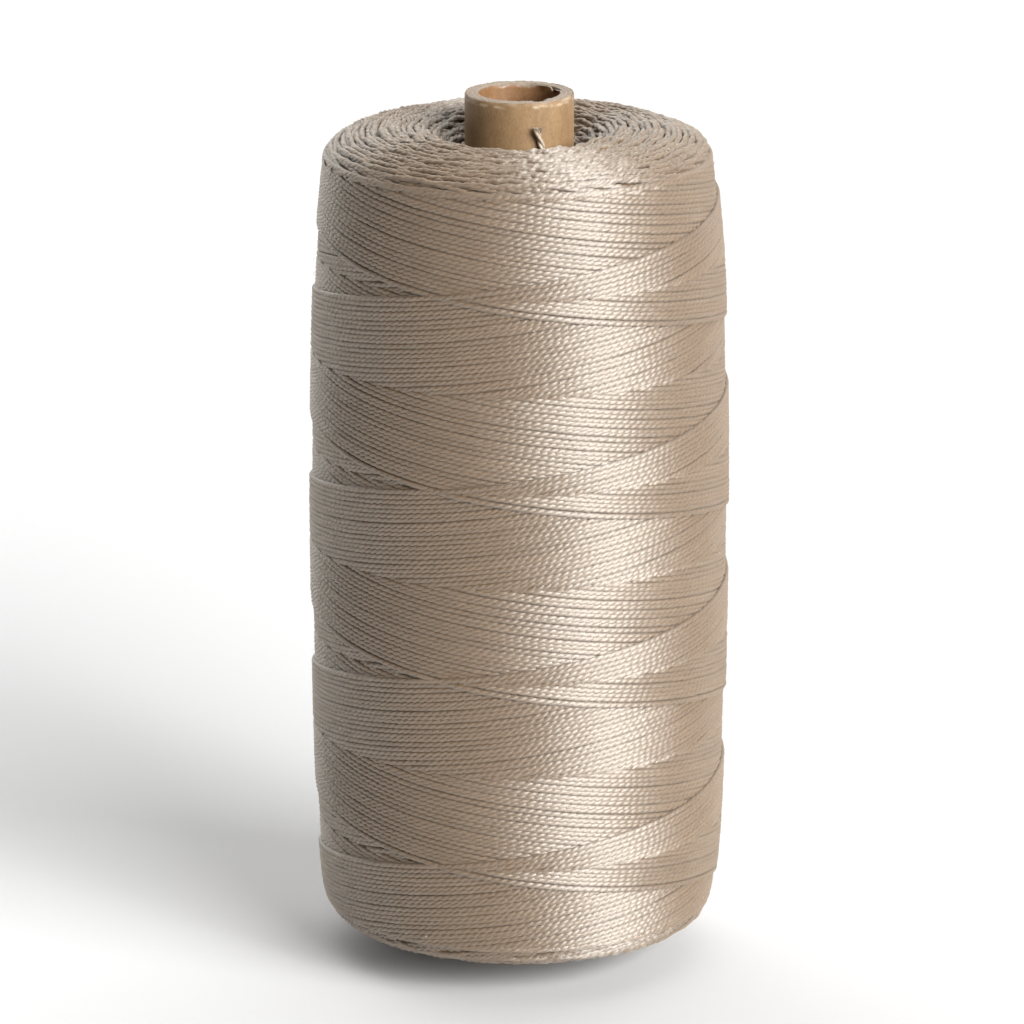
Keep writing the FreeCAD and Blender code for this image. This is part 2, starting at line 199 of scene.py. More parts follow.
def side_runs():
    """Every stretch of thread seen on the side, as (points, outward normals, mean height)."""
    runs = []
    half_length = math.pi * MEAN_RADIUS
    full_rise = 2 * bend_drop(math.pi * HALF_TURNS / 2)
    for climbs in (True, False):
        newest = NEWEST_CLIMB if climbs else NEWEST_FALL
        lead = -NEWEST_LEAD if climbs else NEWEST_LEAD
        for strand in range(STRANDS):
            age = strand / STRANDS
            offset = rng.normal(0, STRAND_SHIFT)
            for i in range(-1, HALF_TURNS + 1):
                shows_from = max(i + age + lead, 0)
                shows_to = min(i + 1 + lead, HALF_TURNS)
                if shows_to - shows_from < SHORTEST_SHOWN:
                    continue
                hidden = HIDDEN_AT_END if shows_from == 0 else HIDDEN_BEFORE
                start = shows_from - hidden / half_length
                end = shows_to + HIDDEN_AFTER / half_length
                count = int((end - start) * half_length / STEP_ALONG) + 2
                half = np.linspace(start, end, count)
                angle = newest + TURN * age - math.pi * half
                from_start = bend_drop(math.pi * half)
                to_end = bend_drop(math.pi * (HALF_TURNS - half))
                rise = np.where(half < HALF_TURNS / 2, from_start, full_rise - to_end)
                z = LOW_TURN + rise if climbs else HIGH_TURN - rise
                along = half * half_length
                near_end = np.minimum(half, HALF_TURNS - half) * half_length
                calm = np.clip(near_end / CALM_LENGTH, CALMEST, 1)
                z = z + calm * (offset + wander(along, *SLOW_SHIFT) + wander(along, *QUICK_SHIFT))
                level = level_of(age, i + 1 + lead - half)
                radius = side_radius(z) - THREAD / 2 - LAYER_STEP * (level - 1)
                radius = radius + wander(along, *RISE_AND_SINK)
                outward = polar(angle, np.ones(count), np.zeros(count))
                runs.append((polar(angle, radius, z), outward, z.mean()))
    return runs


# The end faces' reversals: how deep their centre lines lie, the radius where the faces end,
# the room left round the tube, and the drop in which a reversal's two legs go out of sight
FACE_DEPTH = 0.4
FACE_EDGE = 35.9
TUBE_CLEARANCE = 0.9
HIDDEN_DROP = 0.95
# Where a face is steep, a reversal leans outwards as it drops, less on the leg that leaves
LEAN_FROM_DROP = 0.3
LEAN_SHARE = 0.55
MOST_LEAN = 0.6
LEAVING_LEAN = 0.4
# The outward normal of a reversal, as its shares along the radius and the height
END_NORMAL = (0.6, 0.8)
# A reversal lies less evenly on the face than at the shoulder, and is loosest by the tube: the radii from
# which this grows inwards, and the widths over which it does
FACE_FROM = 35.6
FACE_FADE = 2
LOOSE_FROM = 34
LOOSE_FADE = 16
# The unevenness at the shoulder, what the face adds to it, and what looseness adds, to sizes and to angles
UNEVEN = 0.06
FACE_UNEVEN = 0.06
LOOSE_UNEVEN = 0.09
ANGLE_UNEVEN = 0.04
LOOSE_ANGLE_UNEVEN = 0.05
# How much of it also wanders along a reversal, with the wavelengths, in radius and in height
RADIUS_WANDER = (0.5, (4, 9))
HEIGHT_WANDER = (0.6, (3, 7))


def end_height(radius, upper):
    """The height of the thread's centre line at a radius on an end face."""
    inset = OUTLINE - NORMALS * FACE_DEPTH
    part = inset[:QUARTER] if upper else inset[::-1][:QUARTER]
    reach = int(np.argmax(part[:, 0] > FACE_EDGE)) or len(part)
    return np.interp(radius, part[:reach, 0], part[:reach, 1])


def end_runs(upper):
    """The reversals on an end face and its shoulder, as (points, outward normals, ring's radius).

    They lie ring inside ring, the oldest by the tube.
    """
    runs = []
    outward = 1 if upper else -1
    corner = HIGH_TURN if upper else LOW_TURN
    least_drop = float(bend_drop(0.0))
    first_radius = float(side_radius(corner - outward * least_drop)) - THREAD / 2
    growth = 2 * LAYER_STEP
    count = int((first_radius - (TUBE_RADIUS + TUBE_CLEARANCE)) / growth * STRANDS)
    for strand in range(STRANDS, count):
        age = strand / STRANDS
        ring = first_radius - LAYER_STEP * (2 * age - 0.5)
        height = end_height(ring, upper)
        outer = max(0.0, outward * (height - end_height(ring + growth, upper)))
        inner = max(0.0, outward * (height - end_height(ring - growth, upper)))
        arrive = (outer + HIDDEN_DROP) / RATE + BEND_ANGLE / 2
        leave = (inner + HIDDEN_DROP) / RATE + BEND_ANGLE / 2
        steps = int((arrive + leave) * ring / STEP_ALONG) + 4
        phi = np.linspace(arrive, -leave, steps)
        radius = ring - LAYER_STEP * (level_of(0, phi / math.pi + NEWEST_LEAD) - 0.5)
        drop = bend_drop(phi) - least_drop
        z = height - outward * drop
        lean = min(MOST_LEAN, LEAN_SHARE * growth / outer) if outer > LEAN_FROM_DROP else 0.0
        radius = radius + lean * np.where(phi > 0, drop, LEAVING_LEAN * drop)
        loose = np.clip((LOOSE_FROM - ring) / LOOSE_FADE, 0, 1)
        on_face = np.clip((FACE_FROM - ring) / FACE_FADE, 0, 1)
        uneven = UNEVEN + FACE_UNEVEN * on_face + LOOSE_UNEVEN * loose
        centre = NEWEST_FALL + TURN * age + rng.normal(0, ANGLE_UNEVEN + LOOSE_ANGLE_UNEVEN * loose)
        angle = centre + phi
        share, wavelengths = RADIUS_WANDER
        radius = radius + rng.normal(0, uneven) + wander(phi * ring, share * uneven, wavelengths)
        share, wavelengths = HEIGHT_WANDER
        z = z + outward * (rng.normal(0, uneven) + wander(phi * ring, share * uneven, wavelengths))
        normals = polar(angle, END_NORMAL[0], np.full(steps, END_NORMAL[1] * outward))
        runs.append((polar(angle, radius, z), normals, ring))
    return runs


# The thread's section: two round plies pressed together, in shares of the thread's radius
PLY_CENTRE = 0.37
PLY_RADIUS = 0.63
VALLEY_RADIUS = 0.50
PLY = PLY_CENTRE + PLY_RADIUS * np.exp(1j * np.radians([-85, -30, 30, 85]))
SECTION = np.concatenate([PLY, [1j * VALLEY_RADIUS], -PLY, [-1j * VALLEY_RADIUS]])
SIDES = len(SECTION)
# Neighbours press it: its flanks fill out, up to a widest part
SIDE_FILL = 1.5
WIDEST = 0.95
# Painted shade, darkening the thread's colour where shade falls: in the valleys between the plies, and along
# the seams between strands, from one part of the half width to another
PLY_SHADE = 0.8
SECTION_VALLEY = np.array([0.35, 0.0, 0.0, 0.35, 1.0] * 2)
SEAM_FROM = 0.55
SEAM_TO = 0.85
# The twist's and the thickness's unevenness, as an amplitude and wavelengths
TWIST_WANDER = (0.35, (9, 21))
PLUMP_WANDER = (0.035, (3, 7, 13))


def twisted_rings(points, normals):
    """A run's sections, turned with the left-handed twist and pressed sideways.

    Gives the sections' vertices, the length along the run, its direction, the twist and the amount of painted
    shade.
    """
    tangent = unit(np.gradient(points, axis=0))
    across = unit(np.cross(tangent, normals))
    out = np.cross(across, tangent)
    along = running_length(points)
    twist = TURN * rng.random() - TURN * along / PLY_PITCH + wander(along, *TWIST_WANDER)
    plump = 1 + wander(along, *PLUMP_WANDER)
    turned = np.exp(1j * twist)[:, None] * SECTION[None, :]
    share = (turned.imag / abs(turned)) ** 2
    pressed = turned.imag * (1 + SIDE_FILL * share * np.clip(1 - abs(turned), 0, 1))
    pressed = np.clip(pressed, -WIDEST, WIDEST)
    size = THREAD / 2 * plump[:, None]
    outwards = (size * turned.real)[..., None] * out[:, None, :]
    sideways = (size * pressed)[..., None] * across[:, None, :]
    # Painted shade: darker beside the seams between strands and in the valleys between the plies
    beside = np.clip((abs(pressed) - SEAM_FROM) / (SEAM_TO - SEAM_FROM), 0, 1)
    painted_shade = np.maximum(PLY_SHADE * SECTION_VALLEY[None, :], beside)
    return points[:, None, :] + (outwards + sideways), along, tangent, twist, painted_shade


def ring_quads(rings, columns, closed=False):
    """Quads from each ring of points to the next, and from the last to the first if closed."""
    i = np.arange(rings if closed else rings - 1)[:, None]
    k = np.arange(columns)[None, :]
    here, there = i * columns, (i + 1) % rings * columns
    k1 = (k + 1) % columns
    return np.stack([here + k, here + k1, there + k1, there + k], -1).reshape(-1, 4)


def corner_map(*corners):
    """A map from the (u, v) arrays of each quad's four corners."""
    values = np.broadcast_arrays(*(value for corner in corners for value in corner))
    return np.stack(values, -1).reshape(-1, 2)


def make_mesh(name, coords, quads, maps=None, marks=None):
    """An object from arrays of points in millimetres and quads, with maps and point attributes."""
    mesh = bpy.data.meshes.new(name)
    mesh.vertices.add(len(coords))
    mesh.vertices.foreach_set("co", (coords * MM).astype(np.float32).ravel())
    mesh.loops.add(quads.size)
    mesh.loops.foreach_set("vertex_index", quads.astype(np.int32).ravel())
    mesh.polygons.add(len(quads))
    mesh.polygons.foreach_set("loop_start", np.arange(0, quads.size, 4, dtype=np.int32))
    mesh.polygons.foreach_set("use_smooth", np.ones(len(quads), bool))
    for label, values in (maps or {}).items():
        mesh.uv_layers.new(name=label)
        mesh.uv_layers[label].data.foreach_set("uv", values.astype(np.float32).ravel())
    for label, values in (marks or {}).items():
        if values.ndim == 1:
            attribute = mesh.attributes.new(label, "FLOAT", "POINT")
            attribute.data.foreach_set("value", values.astype(np.float32))
        else:
            attribute = mesh.attributes.new(label, "FLOAT_VECTOR", "POINT")
            attribute.data.foreach_set("vector", values.astype(np.float32).ravel())
    mesh.update(calc_edges=True)
    mesh.validate()
    piece = bpy.data.objects.new(name, mesh)
    bpy.context.scene.collection.objects.link(piece)
    return piece


# How a run lies in the maps: its share of its own strip, and how far it is moved on from the run before
STRIP_EDGE = 0.04
STRIP_FILL = 0.92
RUN_OFFSET = 137.0
# How runs differ in tone, and how the tone changes along each
TONE_SPREAD = 0.18
TONE_WANDER = (0.14, (13, 37))


def thread_mesh(name, runs):
    """One mesh of many runs of thread, with a map that lays each run out as its own strip."""
    side = np.arange(SIDES)[None, :]
    coords, quads, strips, fibres, tones, valleys, axes = [], [], [], [], [], [], []
    first = 0
    longest = max(running_length(points)[-1] for points, _, _ in runs)
    strip = 1 / len(runs)
    for row, (points, normals, _) in enumerate(runs):
        rings, along, tangent, twist, painted_shade = twisted_rings(points, normals)
        coords.append(rings.reshape(-1, 3))
        quads.append(first + ring_quads(len(points), SIDES))
        first += len(points) * SIDES
        u0, u1 = along[:-1, None] / longest, along[1:, None] / longest
        v0 = (row + STRIP_EDGE + STRIP_FILL * side / SIDES) * strip
        v1 = v0 + STRIP_FILL / SIDES * strip
        strips.append(corner_map((u0, v0), (u0, v1), (u1, v1), (u1, v0)))
        a0, a1 = along[:-1, None] + RUN_OFFSET * row, along[1:, None] + RUN_OFFSET * row
        turned = (np.angle(SECTION[0]) / TURN + side / SIDES) + twist[:, None] / TURN
        f0, f1 = turned[:-1], turned[1:]
        fibres.append(corner_map((a0, f0), (a0, f0 + 1 / SIDES), (a1, f1 + 1 / SIDES), (a1, f1)))
        tone = 0.5 + rng.normal(0, TONE_SPREAD) + wander(along, *TONE_WANDER)
        tones.append(np.repeat(np.clip(tone, 0, 1), SIDES))
        # The painted shade is kept in the point mark named valley
        valleys.append(painted_shade.ravel())
        axes.append(np.repeat(tangent, SIDES, axis=0))
    maps = {"OFBake": np.vstack(strips), "fibre": np.vstack(fibres)}
    marks = {"tone": np.concatenate(tones), "valley": np.concatenate(valleys), "axis": np.vstack(axes)}
    return make_mesh(name, np.vstack(coords), np.vstack(quads), maps, marks)


def thread_pieces(prefix, runs, node):
    """The runs in order, as pieces of about equal size that each stay below the limit of triangles."""
    spare = 1.02
    runs = sorted(runs, key=lambda run: run[2])
    total = sum(len(run[0]) for run in runs)
    limit = TRIANGLE_LIMIT / (2 * SIDES)
    groups = math.ceil(total / limit * spare)
    share = total / groups
    pieces, group, used = [], [], 0
    for run in runs:
        group.append(run)
        used += len(run[0])
        if used >= share * (len(pieces) + 1) or run is runs[-1]:
            pieces.append(thread_mesh(f"{prefix}_{len(pieces) + 1}", group))
            group = []
    for piece in pieces:
        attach(piece, "root")
        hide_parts(node)
    return pieces


# The core under the turns: its columns, and the outline's points to each of its rows
CORE_COLUMNS = 360
CORE_EVERY = 4
# How deep it lies, besides half a thread: on the side, at the ends, and more where it faces up or down,
# but less in a narrow belt at the corners, where the gaps between the turns are widest
CORE_DEPTH = 0.05
END_DEPTH = 0.03
FACE_EXTRA = 0.85
BELT_RISE = 0.3
BELT_WIDTH = 1.4
BELT_FROM_RADIUS = 30
# How far inside the corners the side's stepped part ends, and the room left round the tube
STEPS_INSET = 0.5
CORE_CLEARANCE = 0.02


def package_core():
    """The thread below the turns that show: a surface that follows their steps a little deeper."""
    angle = np.linspace(0, TURN, CORE_COLUMNS, endpoint=False)[None, :]
    rows_r, rows_z = OUTLINE[::CORE_EVERY, 0][:, None], OUTLINE[::CORE_EVERY, 1][:, None]
    normal_r, normal_z = NORMALS[::CORE_EVERY, 0][:, None], NORMALS[::CORE_EVERY, 1][:, None]
    count = len(rows_r)
    outside = rows_r > BELT_FROM_RADIUS
    belt = sum(np.exp(-((rows_z - corner) / BELT_WIDTH) ** 2) for corner in (HIGH_TURN, LOW_TURN))
    at_ends = THREAD / 2 + END_DEPTH + FACE_EXTRA * normal_z ** 2 - BELT_RISE * (belt * outside)
    up = (rows_z - LOW_TURN + CLIMB * (angle - NEWEST_CLIMB) / TURN) / CLIMB % 1
    down = (LOW_TURN + CLIMB * (angle - NEWEST_FALL) / TURN - rows_z) / CLIMB % 1
    stepped = (rows_z > LOW_TURN + STEPS_INSET) & (rows_z < HIGH_TURN - STEPS_INSET) & outside
    depth = np.where(stepped, THREAD / 2 + LAYER_STEP * (up + down - 1) + CORE_DEPTH, at_ends)
    radius = np.maximum(rows_r - normal_r * depth, TUBE_RADIUS + CORE_CLEARANCE)
    height = rows_z - normal_z * depth
    coords = np.stack([radius * np.sin(angle), -radius * np.cos(angle), height], -1).reshape(-1, 3)
    quads = ring_quads(count, CORE_COLUMNS)[:, [0, 3, 2, 1]]
    u0, v0 = np.arange(CORE_COLUMNS)[None, :] / CORE_COLUMNS, np.arange(count - 1)[:, None] / count
    u1, v1 = u0 + 1 / CORE_COLUMNS, v0 + 1 / count
    maps = {"OFBake": corner_map((u0, v0), (u0, v1), (u1, v1), (u1, v0))}
    core = make_mesh("package_core", coords, quads, maps)
    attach(core, "root")
    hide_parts("thread_package")
    return core


# The angles of a layer's columns round the tube
ROUND = np.linspace(0, TURN, 420, endpoint=False)
# Wear of the layers' rims, as (place round the tube in degrees, width in degrees, depth)
NICK = (28.0, 5.5)
LINER_DROPS = [(*NICK, 1.5), (168, 16, 0.45), (205, 9, 0.3), (122, 7, 0.7)]
LINER_CURLS = [(113, 9, 0.75), (140, 8, 0.35)]
PLY_DROPS = [[(*NICK, 1.1), (168, 12, 0.25)], [(*NICK, 0.25)], [], []]
WRAP_DROPS = [(31, 9, 0.10)]
WRAP_DENTS = [(25, 12, 0.08)]
# How much of its rim's wear a wall has further down, as (depth below the rim, share)
WEAR_BELOW = [(4.5, 0), (1.6, 0.15), (0.8, 0.45)]
LINER_THICKNESS = 0.4
# A height on the walls between the foot and the worn rim
WALL_MIDDLE = 150.0


def bumps(places):
    """The depth round the tube of smooth bumps, one for each place, width and depth."""
    total = np.zeros_like(ROUND)
    for centre, width, depth in places:
        away = (np.degrees(ROUND) - centre + 180) % 360 - 180
        total += depth * np.exp(-(away / width) ** 2)
    return total


def round_noise(amplitude, lobes):
    """A random offset round the tube that closes on itself, a sum of a few numbers of lobes."""
    total = np.zeros_like(ROUND)
    for count in lobes:
        total += rng.normal(0, 1) * np.sin(count * ROUND + TURN * rng.random())
    return amplitude * total / math.sqrt(len(lobes))


def paper_ring(name, node, inner, outer, drop, curl=0.0, corner=0.06):
    """One layer of the tube: a wall whose upper edge drops and curls inward by the given amounts."""
    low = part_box(node)[0].z / MM
    wall = [(0.0, low + corner, 0), (0.0, WALL_MIDDLE, 0)]
    wall += [(0.0, TUBE_TOP - below, share) for below, share in WEAR_BELOW]
    wall += [(0.0, TUBE_TOP - corner, 0.9), (0.3 * corner, TUBE_TOP - 0.3 * corner, 1), (corner, TUBE_TOP, 1)]
    section = [(outer - inset, z, share) for inset, z, share in wall]
    section += [(inner + inset, z, share) for inset, z, share in reversed(wall)]
    section += [(inner + corner, low, 0), (outer - corner, low, 0)]
    rings = [polar(ROUND, radius - curl * share, z - drop * share) for radius, z, share in section]
    piece = make_mesh(name, np.vstack(rings), ring_quads(len(rings), len(ROUND), closed=True))
    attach(piece, "root")
    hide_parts(node)
    return piece


def paper_tube():
    """The tube's six glued layers, cut square but rubbed, with a nick and a lifted edge in the bore."""
    drop = 0.04 + bumps(LINER_DROPS) + abs(round_noise(0.06, (7, 13, 23, 41)))
    curl = bumps(LINER_CURLS) + abs(round_noise(0.05, (5, 11, 19)))
    bore = LINER_RADIUS - LINER_THICKNESS
    liner = paper_ring("bore_liner", "tube_inner_liner", bore, LINER_RADIUS, drop, curl)
    liner.data.materials.append(liner_material())
    inner = LINER_RADIUS
    for ply, places in enumerate(PLY_DROPS, 1):
        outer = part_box(f"tube_ply_{ply}")[1].x / MM
        drop = 0.03 + bumps(places) + abs(round_noise(0.05, (9, 17, 31, 57)))
        ring = paper_ring(f"board_ply_{ply}", f"tube_ply_{ply}", inner, outer, drop)
        ring.data.materials.append(board_material(ply))
        inner = outer
    drop = 0.03 + abs(round_noise(0.05, (5, 14, 29))) + bumps(WRAP_DROPS)
    dent = round_noise(0.03, (3, 8, 19)) + bumps(WRAP_DENTS)
    wrap = paper_ring("kraft_wrap", "tube_outer_wrap", inner, TUBE_RADIUS, drop, dent, corner=0.22)
    wrap.data.materials.append(kraft_material())


def round_cord(points, radius, sides):
    """Vertices and quads of a thin round cord along points, for joining into one mesh."""
    aside = (0.31, 0.52, 0.8)
    tangent = unit(np.gradient(points, axis=0))
    side = unit(np.cross(tangent, np.tile(aside, (len(points), 1))))
    up = np.cross(side, tangent)
    angle = np.linspace(0, TURN, sides, endpoint=False)[None, :, None]
    rings = points[:, None, :] + radius * (np.cos(angle) * side[:, None, :] + np.sin(angle) * up[:, None, :])
    return rings.reshape(-1, 3), ring_quads(len(points), sides)


def joined(name, shapes):
    """One object from many small shapes, each as (vertices, quads)."""
    coords, quads, first = [], [], 0
    for points, faces in shapes:
        coords.append(points)
        quads.append(faces + first)
        first += len(points)
    piece = make_mesh(name, np.vstack(coords), np.vstack(quads))
    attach(piece, "root")
    return piece


# The start tail: how far its centre stands off the tube at its foot, and how much further at its tip
TAIL_STAND_OFF = 0.5
TAIL_OUTWARDS = 0.75
# Its lean to the left, as the centre's x at depths below the tip, where the last is its foot
TAIL_DEPTHS = [0, 1.0, 3.0, 4.5]
TAIL_X = [3.3, 3.35, 3.9, 4.3, 5.0]
# Its plies: their thickness, how far they stand from the centre, further at the cut and less from front to
# back, and the fan of fibres at the cut
TAIL_PLY_RADIUS = 0.33
TAIL_PLY_REACH = 0.27
TAIL_SPREAD = 0.1
TAIL_FLATTER = 0.8
SPREAD_BELOW = 0.9
# How far they have turned, in turns, at depths below the tip, where the first is at the foot
TAIL_TWIST_DEPTHS = [3.2, 0.7, 0]
TAIL_TWIST = [-2.2, 0, 0.5, 0.5]
FAN_FROM_DEPTH = 0.6
FAN_WIDTH = 1.75
FAN_FIBRES = 80
FAN_FIBRE_RADIUS = 0.055


def fan_fibre(side, end, tip):
    """A fibre of a ply's cut end, from inside the ply to its place along the cut."""
    share = -side * rng.uniform(-0.2, 0.5)
    t = np.linspace(0, 1, 7)[:, None]
    start = end + rng.normal(0, 0.13, 3)
    away = np.array([share * FAN_WIDTH, rng.normal(0, 0.15), -abs(rng.normal(0, 0.09))])
    bow = np.array([-side * rng.uniform(-0.05, 0.12), rng.normal(0, 0.05), 0])
    points = start * (1 - t) + (tip + away) * t + bow * np.sin(math.pi * t)
    return round_cord(points, FAN_FIBRE_RADIUS, sides=5)


def start_tail():
    """The thread's start: it stands up beside the tube, cut square, and its two plies fan out at the cut."""
    low_z, tip_z = (corner.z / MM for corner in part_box("thread_start_tail"))
    z = np.linspace(low_z, tip_z, 70)
    below_tip = tip_z - z
    up = (z - low_z) / (tip_z - low_z)
    x = np.interp(below_tip, [*TAIL_DEPTHS, tip_z - low_z], TAIL_X)
    stand_off = TUBE_RADIUS + TAIL_STAND_OFF + TAIL_OUTWARDS * up ** 3
    centre = np.column_stack([x, -np.sqrt(stand_off ** 2 - x ** 2), z])
    heights = [low_z - tip_z, *(-depth for depth in TAIL_TWIST_DEPTHS)]
    phase = np.interp(-below_tip, heights, [TURN * turns for turns in TAIL_TWIST])
    reach = TAIL_PLY_REACH + TAIL_SPREAD * soft_step(1 - below_tip / SPREAD_BELOW)
    cords = []
    for side in (1, -1):
        sideways = side * reach * np.cos(phase)
        backwards = -TAIL_FLATTER * side * reach * np.sin(phase)
        offset = np.column_stack([sideways, backwards, np.zeros_like(z)])
        ply = (centre + offset)[below_tip > FAN_FROM_DEPTH]
        cords.append(round_cord(ply, TAIL_PLY_RADIUS, sides=12))
        cords += [fan_fibre(side, ply[-5], centre[-1]) for _ in range(FAN_FIBRES)]
    tail = joined("start_tail", cords)
    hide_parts("thread_start_tail")
    return tail


# Small things on the package: how many, and the outline's points at either end that they keep off
STRAY_FIBRES = 1500
WAX_SPECKS = 90
END_POINTS = 40


def spot_on_package():
    """A random place on the package, as the number of an outline point and an angle round the spool."""
    return int(rng.integers(END_POINTS, len(OUTLINE) - END_POINTS)), rng.uniform(0, TURN)


def stray_fibres():
    """Fine fibres that stand off the thread, all over the package."""
    rooted = -0.15
    t = np.linspace(0, 1, 6)
    cords = []
    for _ in range(STRAY_FIBRES):
        row, angle = spot_on_package()
        radius, z = OUTLINE[row]
        out_r, out_z = NORMALS[row]
        length = rng.uniform(0.5, 2.2)
        lift = rng.uniform(0.05, 0.55)
        swing = rng.uniform(-1, 1)
        along_angle = angle + np.cos(swing) * length * t / radius * rng.choice([-1, 1])
        off = rooted + lift * np.sin(math.pi * t * rng.uniform(0.5, 0.95))
        rise = np.sin(swing) * length * t * 0.6
        points = polar(along_angle, radius + out_r * off - out_z * rise, z + out_z * off + out_r * rise)
        cords.append(round_cord(points, rng.uniform(0.012, 0.022), sides=3))
    return joined("stray_fibres", cords)


def wax_specks():
    """Small pale crumbs of wax caught on the thread."""
    sunk = 0.12
    cube = np.array([(x, y, z) for x in (-1, 1) for y in (-1, 1) for z in (-1, 1)], float)
    faces = np.array([(0, 1, 3, 2), (4, 6, 7, 5), (0, 4, 5, 1), (2, 3, 7, 6), (0, 2, 6, 4), (1, 5, 7, 3)])
    crumbs = []
    for _ in range(WAX_SPECKS):
        row, angle = spot_on_package()
        radius, z = OUTLINE[row]
        size = rng.uniform(0.04, 0.10, 3)
        centre = np.array([(radius - sunk) * np.sin(angle), -(radius - sunk) * np.cos(angle), z])
        crumbs.append((centre + cube * size + rng.normal(0, 0.02, (8, 3)), faces))
    return joined("wax_specks", crumbs)


def new_material(name):
    """A material with its node tree and its shader."""
    material = bpy.data.materials.new(name)
    material.use_nodes = True
    return material, material.node_tree, material.node_tree.nodes["Principled BSDF"]


def plug(tree, value, socket):
    """Feeds a socket from another socket, or sets it to a constant."""
    if isinstance(value, bpy.types.NodeSocket):
        tree.links.new(value, socket)
    else:
        socket.default_value = value


def set_sockets(tree, node, **values):
    """Feeds a node's sockets by name, with underscores for the spaces in the names."""
    for name, value in values.items():
        plug(tree, value, node.inputs[name.replace("_", " ")])


def operate(tree, kind, operation, *values):
    """A math node of a kind, with its inputs fed in order."""
    node = tree.nodes.new(kind)
    node.operation = operation
    for socket, value in zip(node.inputs, values):
        plug(tree, value, socket)
    return node


def product(tree, first, second):
    """Two values multiplied."""
    return operate(tree, "ShaderNodeMath", "MULTIPLY", first, second).outputs[0]


def attribute(tree, name, output="Fac"):
    """A value kept in the mesh's points."""
    node = tree.nodes.new("ShaderNodeAttribute")
    node.attribute_name = name
    return node.outputs[output]


def object_place(tree):
    """The place on the object, in metres."""
    return tree.nodes.new("ShaderNodeTexCoord").outputs["Object"]


def surface_normal(tree):
    """The surface's own normal."""
    return tree.nodes.new("ShaderNodeNewGeometry").outputs["Normal"]


def z_of(tree, vector):
    """A vector's share along the height."""
    node = tree.nodes.new("ShaderNodeSeparateXYZ")
    tree.links.new(vector, node.inputs[0])
    return node.outputs["Z"]


def mix_colour(tree, factor, first, second):
    """A colour mix; each input is a socket or a constant."""
    node = tree.nodes.new("ShaderNodeMix")
    node.data_type = "RGBA"
    for index, value in ((0, factor), (6, first), (7, second)):
        plug(tree, value, node.inputs[index])
    return node.outputs[2]


def ramp(tree, source, low, high, to_low=0.0, to_high=1.0):
    """A value mapped from one range to another and clamped."""
    node = tree.nodes.new("ShaderNodeMapRange")
    node.clamp = True
    for socket, value in zip(node.inputs, (source, low, high, to_low, to_high)):
        plug(tree, value, socket)
    return node.outputs[0]


def noise(tree, vector, scale, detail=2.0, stretch=(1, 1, 1)):
    """A noise value at a scale per unit of the vector, stretched along the axes."""
    mapping = tree.nodes.new("ShaderNodeMapping")
    set_sockets(tree, mapping, Vector=vector, Scale=stretch)
    node = tree.nodes.new("ShaderNodeTexNoise")
    set_sockets(tree, node, Vector=mapping.outputs[0], Scale=scale, Detail=detail)
    return node.outputs["Fac"]


def bump(tree, shader, height, strength, distance, normal=None):
    """Surface relief from a height value, with its full depth in metres."""
    node = tree.nodes.new("ShaderNodeBump")
    set_sockets(tree, node, Height=height, Strength=strength, Distance=distance)
    if normal:
        set_sockets(tree, node, Normal=normal)
    set_sockets(tree, shader, Normal=node.outputs["Normal"])


def near_rim(tree, height, low, high, to_low=0.0, to_high=1.0):
    """A value that changes between two heights, given in millimetres below the tube's rim."""
    return ramp(tree, height, (TUBE_TOP - low) * MM, (TUBE_TOP - high) * MM, to_low, to_high)


def along_fibres(tree, share):
    """The surface's normal with a share of its lean along the thread taken out.

    The thread's fibres run straight, so they shine as one and not as the mesh's twisted plies would.
    """
    normal = surface_normal(tree)
    axis = attribute(tree, "axis", "Vector")
    lean = operate(tree, "ShaderNodeVectorMath", "DOT_PRODUCT", normal, axis).outputs["Value"]
    taken = product(tree, lean, -share)
    level = operate(tree, "ShaderNodeVectorMath", "MULTIPLY_ADD", axis, taken, normal).outputs[0]
    return operate(tree, "ShaderNodeVectorMath", "NORMALIZE", level).outputs[0]


def across_fibres(tree):
    """The direction across the thread on its surface, in which its gloss spreads wide."""
    axis = attribute(tree, "axis", "Vector")
    return operate(tree, "ShaderNodeVectorMath", "CROSS_PRODUCT", axis, surface_normal(tree)).outputs[0]


def thread_material():
    """Waxed beige thread: fine fibres along the plies, with painted shade between them, soft lustre."""
    dark, pale = (0.143, 0.089, 0.047, 1), (0.184, 0.116, 0.063, 1)
    patch, streak = (0.161, 0.100, 0.054, 1), (0.226, 0.152, 0.090, 1)
    # The colour of the painted shade in the valleys between the plies and the seams between strands
    shade = (0.074, 0.043, 0.022, 1)
    material, tree, shader = new_material("waxed_thread_look")
    fibre_map = tree.nodes.new("ShaderNodeUVMap")
    fibre_map.uv_map = "fibre"
    fibres = noise(tree, fibre_map.outputs["UV"], 1.0, detail=3.0, stretch=(0.9, 34.0, 1.0))
    patches = noise(tree, object_place(tree), 160.0)
    base = mix_colour(tree, attribute(tree, "tone"), dark, pale)
    base = mix_colour(tree, ramp(tree, patches, 0.35, 0.7, to_high=0.35), base, patch)
    base = mix_colour(tree, ramp(tree, fibres, 0.3, 0.7, to_high=0.25), base, streak)
    # Painted shade, mixed in where the valley mark is high
    base = mix_colour(tree, ramp(tree, attribute(tree, "valley"), 0.25, 1.0, to_high=0.7), base, shade)
    set_sockets(tree, shader, Base_Color=base, Roughness=ramp(tree, fibres, 0.3, 0.7, 0.48, 0.60),
                IOR=2.0, Specular_IOR_Level=1.0, Specular_Tint=(1.0, 0.975, 0.92, 1),
                Anisotropic=0.8, Tangent=across_fibres(tree),
                Sheen_Weight=0.33, Sheen_Roughness=0.35, Sheen_Tint=(1.0, 0.88, 0.72, 1))
    bump(tree, shader, fibres, 0.5, 0.00006, along_fibres(tree, 0.65))
    return material


